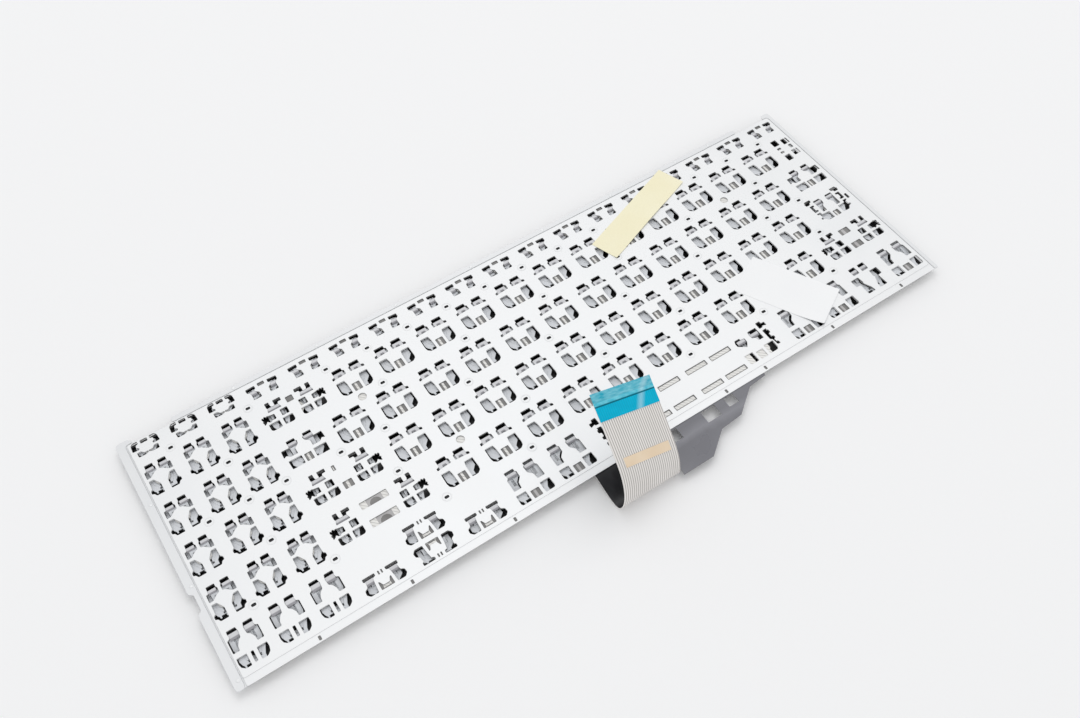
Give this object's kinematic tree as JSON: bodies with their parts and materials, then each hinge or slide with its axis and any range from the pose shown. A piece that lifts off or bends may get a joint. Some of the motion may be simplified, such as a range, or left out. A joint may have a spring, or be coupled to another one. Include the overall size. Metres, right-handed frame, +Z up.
{
  "type": "laptop replacement keyboard",
  "caption": "Laptop replacement keyboard seen from its pierced metal back plate, with pressing keycaps on domes and scissor links and a folded film ribbon cable.",
  "frame": {"origin": "centre of the bounding box in plan, on the floor under the key faces", "axes": "+X along the key rows towards the escape key, +Y towards the function row, +Z up out of the back plate"},
  "size_m": [0.323, 0.1296, 0.0495],
  "materials": {
    "plate": "satin",
    "film": "smooth film",
    "ribbon": "film with fine lengthwise tracks",
    "stiffener": "clear blue film",
    "sticker": "matte",
    "note": "matte",
    "label": "matte",
    "rubber": "soft silicone",
    "cap": "fine matte",
    "link": "smooth moulded",
    "wire": "drawn wire"
  },
  "bodies": {
    "board": {"base_plate": "plate", "membrane": "film", "ribbon_cable": "ribbon", "ribbon_stiffener": "stiffener", "ribbon_sticker": "sticker", "yellow_note": "note", "white_label": "label", "rubber_domes": "rubber", "function_keys": "cap", "pad_keys": "cap", "number_keys": "cap", "punctuation_keys": "cap", "modifier_keys": "cap", "arrow_keys": "cap"},
    "key_q": {"key_q": "cap"},
    "key_w": {"key_w": "cap"},
    "key_e": {"key_e": "cap"},
    "key_r": {"key_r": "cap"},
    "key_t": {"key_t": "cap"},
    "key_y": {"key_y": "cap"},
    "key_u": {"key_u": "cap"},
    "key_i": {"key_i": "cap"},
    "key_o": {"key_o": "cap"},
    "key_p": {"key_p": "cap"},
    "key_a": {"key_a": "cap"},
    "key_s": {"key_s": "cap"},
    "key_d": {"key_d": "cap"},
    "key_f": {"key_f": "cap"},
    "key_g": {"key_g": "cap"},
    "key_h": {"key_h": "cap"},
    "key_j": {"key_j": "cap"},
    "key_k": {"key_k": "cap"},
    "key_l": {"key_l": "cap"},
    "key_z": {"key_z": "cap"},
    "key_x": {"key_x": "cap"},
    "key_c": {"key_c": "cap"},
    "key_v": {"key_v": "cap"},
    "key_b": {"key_b": "cap"},
    "key_n": {"key_n": "cap"},
    "key_m": {"key_m": "cap"},
    "key_backspace": {"key_backspace": "cap"},
    "key_backslash": {"key_backslash": "cap"},
    "key_tab": {"key_tab": "cap"},
    "key_enter": {"key_enter": "cap"},
    "key_caps_lock": {"key_caps_lock": "cap"},
    "key_right_shift": {"key_right_shift": "cap"},
    "key_left_shift": {"key_left_shift": "cap"},
    "key_space": {"key_space": "cap"},
    "key_d_outer_link": {"key_d_outer_link": "link"},
    "key_d_inner_link": {"key_d_inner_link": "link"},
    "key_f_outer_link": {"key_f_outer_link": "link"},
    "key_f_inner_link": {"key_f_inner_link": "link"},
    "key_g_outer_link": {"key_g_outer_link": "link"},
    "key_g_inner_link": {"key_g_inner_link": "link"},
    "key_h_outer_link": {"key_h_outer_link": "link"},
    "key_h_inner_link": {"key_h_inner_link": "link"},
    "key_j_outer_link": {"key_j_outer_link": "link"},
    "key_j_inner_link": {"key_j_inner_link": "link"},
    "space_wire": {"space_wire": "wire"}
  },
  "joints": [
    {"name": "q_press", "type": "slide", "parent": "board", "child": "key_q", "axis": [0, 0, 1], "range_m": [0, 0.0015], "stiffness_N_per_m": 250, "springref_m": -0.0006, "deforming": ["rubber_domes"]},
    {"name": "w_press", "type": "slide", "parent": "board", "child": "key_w", "axis": [0, 0, 1], "range_m": [0, 0.0015], "stiffness_N_per_m": 250, "springref_m": -0.0006, "deforming": ["rubber_domes"]},
    {"name": "e_press", "type": "slide", "parent": "board", "child": "key_e", "axis": [0, 0, 1], "range_m": [0, 0.0015], "stiffness_N_per_m": 250, "springref_m": -0.0006, "deforming": ["rubber_domes"]},
    {"name": "r_press", "type": "slide", "parent": "board", "child": "key_r", "axis": [0, 0, 1], "range_m": [0, 0.0015], "stiffness_N_per_m": 250, "springref_m": -0.0006, "deforming": ["rubber_domes"]},
    {"name": "t_press", "type": "slide", "parent": "board", "child": "key_t", "axis": [0, 0, 1], "range_m": [0, 0.0015], "stiffness_N_per_m": 250, "springref_m": -0.0006, "deforming": ["rubber_domes"]},
    {"name": "y_press", "type": "slide", "parent": "board", "child": "key_y", "axis": [0, 0, 1], "range_m": [0, 0.0015], "stiffness_N_per_m": 250, "springref_m": -0.0006, "deforming": ["rubber_domes"]},
    {"name": "u_press", "type": "slide", "parent": "board", "child": "key_u", "axis": [0, 0, 1], "range_m": [0, 0.0015], "stiffness_N_per_m": 250, "springref_m": -0.0006, "deforming": ["rubber_domes"]},
    {"name": "i_press", "type": "slide", "parent": "board", "child": "key_i", "axis": [0, 0, 1], "range_m": [0, 0.0015], "stiffness_N_per_m": 250, "springref_m": -0.0006, "deforming": ["rubber_domes"]},
    {"name": "o_press", "type": "slide", "parent": "board", "child": "key_o", "axis": [0, 0, 1], "range_m": [0, 0.0015], "stiffness_N_per_m": 250, "springref_m": -0.0006, "deforming": ["rubber_domes"]},
    {"name": "p_press", "type": "slide", "parent": "board", "child": "key_p", "axis": [0, 0, 1], "range_m": [0, 0.0015], "stiffness_N_per_m": 250, "springref_m": -0.0006, "deforming": ["rubber_domes"]},
    {"name": "a_press", "type": "slide", "parent": "board", "child": "key_a", "axis": [0, 0, 1], "range_m": [0, 0.0015], "stiffness_N_per_m": 250, "springref_m": -0.0006, "deforming": ["rubber_domes"]},
    {"name": "s_press", "type": "slide", "parent": "board", "child": "key_s", "axis": [0, 0, 1], "range_m": [0, 0.0015], "stiffness_N_per_m": 250, "springref_m": -0.0006, "deforming": ["rubber_domes"]},
    {"name": "d_press", "type": "slide", "parent": "board", "child": "key_d", "axis": [0, 0, 1], "range_m": [0, 0.0015], "stiffness_N_per_m": 250, "springref_m": -0.0006, "deforming": ["rubber_domes"]},
    {"name": "f_press", "type": "slide", "parent": "board", "child": "key_f", "axis": [0, 0, 1], "range_m": [0, 0.0015], "stiffness_N_per_m": 250, "springref_m": -0.0006, "deforming": ["rubber_domes"]},
    {"name": "g_press", "type": "slide", "parent": "board", "child": "key_g", "axis": [0, 0, 1], "range_m": [0, 0.0015], "stiffness_N_per_m": 250, "springref_m": -0.0006, "deforming": ["rubber_domes"]},
    {"name": "h_press", "type": "slide", "parent": "board", "child": "key_h", "axis": [0, 0, 1], "range_m": [0, 0.0015], "stiffness_N_per_m": 250, "springref_m": -0.0006, "deforming": ["rubber_domes"]},
    {"name": "j_press", "type": "slide", "parent": "board", "child": "key_j", "axis": [0, 0, 1], "range_m": [0, 0.0015], "stiffness_N_per_m": 250, "springref_m": -0.0006, "deforming": ["rubber_domes"]},
    {"name": "k_press", "type": "slide", "parent": "board", "child": "key_k", "axis": [0, 0, 1], "range_m": [0, 0.0015], "stiffness_N_per_m": 250, "springref_m": -0.0006, "deforming": ["rubber_domes"]},
    {"name": "l_press", "type": "slide", "parent": "board", "child": "key_l", "axis": [0, 0, 1], "range_m": [0, 0.0015], "stiffness_N_per_m": 250, "springref_m": -0.0006, "deforming": ["rubber_domes"]},
    {"name": "z_press", "type": "slide", "parent": "board", "child": "key_z", "axis": [0, 0, 1], "range_m": [0, 0.0015], "stiffness_N_per_m": 250, "springref_m": -0.0006, "deforming": ["rubber_domes"]},
    {"name": "x_press", "type": "slide", "parent": "board", "child": "key_x", "axis": [0, 0, 1], "range_m": [0, 0.0015], "stiffness_N_per_m": 250, "springref_m": -0.0006, "deforming": ["rubber_domes"]},
    {"name": "c_press", "type": "slide", "parent": "board", "child": "key_c", "axis": [0, 0, 1], "range_m": [0, 0.0015], "stiffness_N_per_m": 250, "springref_m": -0.0006, "deforming": ["rubber_domes"]},
    {"name": "v_press", "type": "slide", "parent": "board", "child": "key_v", "axis": [0, 0, 1], "range_m": [0, 0.0015], "stiffness_N_per_m": 250, "springref_m": -0.0006, "deforming": ["rubber_domes"]},
    {"name": "b_press", "type": "slide", "parent": "board", "child": "key_b", "axis": [0, 0, 1], "range_m": [0, 0.0015], "stiffness_N_per_m": 250, "springref_m": -0.0006, "deforming": ["rubber_domes"]},
    {"name": "n_press", "type": "slide", "parent": "board", "child": "key_n", "axis": [0, 0, 1], "range_m": [0, 0.0015], "stiffness_N_per_m": 250, "springref_m": -0.0006, "deforming": ["rubber_domes"]},
    {"name": "m_press", "type": "slide", "parent": "board", "child": "key_m", "axis": [0, 0, 1], "range_m": [0, 0.0015], "stiffness_N_per_m": 250, "springref_m": -0.0006, "deforming": ["rubber_domes"]},
    {"name": "backspace_press", "type": "slide", "parent": "board", "child": "key_backspace", "axis": [0, 0, 1], "range_m": [0, 0.0015], "stiffness_N_per_m": 250, "springref_m": -0.0006, "deforming": ["rubber_domes"]},
    {"name": "backslash_press", "type": "slide", "parent": "board", "child": "key_backslash", "axis": [0, 0, 1], "range_m": [0, 0.0015], "stiffness_N_per_m": 250, "springref_m": -0.0006, "deforming": ["rubber_domes"]},
    {"name": "tab_press", "type": "slide", "parent": "board", "child": "key_tab", "axis": [0, 0, 1], "range_m": [0, 0.0015], "stiffness_N_per_m": 250, "springref_m": -0.0006, "deforming": ["rubber_domes"]},
    {"name": "enter_press", "type": "slide", "parent": "board", "child": "key_enter", "axis": [0, 0, 1], "range_m": [0, 0.0015], "stiffness_N_per_m": 250, "springref_m": -0.0006, "deforming": ["rubber_domes"]},
    {"name": "caps_lock_press", "type": "slide", "parent": "board", "child": "key_caps_lock", "axis": [0, 0, 1], "range_m": [0, 0.0015], "stiffness_N_per_m": 250, "springref_m": -0.0006, "deforming": ["rubber_domes"]},
    {"name": "right_shift_press", "type": "slide", "parent": "board", "child": "key_right_shift", "axis": [0, 0, 1], "range_m": [0, 0.0015], "stiffness_N_per_m": 250, "springref_m": -0.0006, "deforming": ["rubber_domes"]},
    {"name": "left_shift_press", "type": "slide", "parent": "board", "child": "key_left_shift", "axis": [0, 0, 1], "range_m": [0, 0.0015], "stiffness_N_per_m": 250, "springref_m": -0.0006, "deforming": ["rubber_domes"]},
    {"name": "space_press", "type": "slide", "parent": "board", "child": "key_space", "axis": [0, 0, 1], "range_m": [0, 0.0015], "stiffness_N_per_m": 250, "springref_m": -0.0006, "deforming": ["rubber_domes"]},
    {"name": "d_outer_pivot", "type": "hinge", "parent": "board", "child": "key_d_outer_link", "pos_m": [0.08531, -0.0016, 0.003], "axis": [1, 0, 0], "range_deg": [0, 7.99]},
    {"name": "d_inner_pivot", "type": "hinge", "parent": "key_d_outer_link", "child": "key_d_inner_link", "pos_m": [0.08531, 0.00375, 0.00225], "axis": [1, 0, 0], "range_deg": [-18.8, 0]},
    {"name": "f_outer_pivot", "type": "hinge", "parent": "board", "child": "key_f_outer_link", "pos_m": [0.06626, -0.0016, 0.003], "axis": [1, 0, 0], "range_deg": [0, 7.99]},
    {"name": "f_inner_pivot", "type": "hinge", "parent": "key_f_outer_link", "child": "key_f_inner_link", "pos_m": [0.06626, 0.00375, 0.00225], "axis": [1, 0, 0], "range_deg": [-18.8, 0]},
    {"name": "g_outer_pivot", "type": "hinge", "parent": "board", "child": "key_g_outer_link", "pos_m": [0.04721, -0.0016, 0.003], "axis": [1, 0, 0], "range_deg": [0, 7.99]},
    {"name": "g_inner_pivot", "type": "hinge", "parent": "key_g_outer_link", "child": "key_g_inner_link", "pos_m": [0.04721, 0.00375, 0.00225], "axis": [1, 0, 0], "range_deg": [-18.8, 0]},
    {"name": "h_outer_pivot", "type": "hinge", "parent": "board", "child": "key_h_outer_link", "pos_m": [0.02816, -0.0016, 0.003], "axis": [1, 0, 0], "range_deg": [0, 7.99]},
    {"name": "h_inner_pivot", "type": "hinge", "parent": "key_h_outer_link", "child": "key_h_inner_link", "pos_m": [0.02816, 0.00375, 0.00225], "axis": [1, 0, 0], "range_deg": [-18.8, 0]},
    {"name": "j_outer_pivot", "type": "hinge", "parent": "board", "child": "key_j_outer_link", "pos_m": [0.00911, -0.0016, 0.003], "axis": [1, 0, 0], "range_deg": [0, 7.99]},
    {"name": "j_inner_pivot", "type": "hinge", "parent": "key_j_outer_link", "child": "key_j_inner_link", "pos_m": [0.00911, 0.00375, 0.00225], "axis": [1, 0, 0], "range_deg": [-18.8, 0]},
    {"name": "space_wire_pivot", "type": "hinge", "parent": "board", "child": "space_wire", "pos_m": [0.0374, -0.0298, 0.003], "axis": [1, 0, 0], "range_deg": [-9.6, 0]}
  ],
  "couplings": [
    {"joint": "d_outer_pivot", "follows": "d_press", "rad_per_m": 92.893},
    {"joint": "d_inner_pivot", "follows": "d_press", "rad_per_m": -218.64},
    {"joint": "f_outer_pivot", "follows": "f_press", "rad_per_m": 92.893},
    {"joint": "f_inner_pivot", "follows": "f_press", "rad_per_m": -218.64},
    {"joint": "g_outer_pivot", "follows": "g_press", "rad_per_m": 92.893},
    {"joint": "g_inner_pivot", "follows": "g_press", "rad_per_m": -218.64},
    {"joint": "h_outer_pivot", "follows": "h_press", "rad_per_m": 92.893},
    {"joint": "h_inner_pivot", "follows": "h_press", "rad_per_m": -218.64},
    {"joint": "j_outer_pivot", "follows": "j_press", "rad_per_m": 92.893},
    {"joint": "j_inner_pivot", "follows": "j_press", "rad_per_m": -218.64},
    {"joint": "space_wire_pivot", "follows": "space_press", "rad_per_m": -111.63}
  ]
}
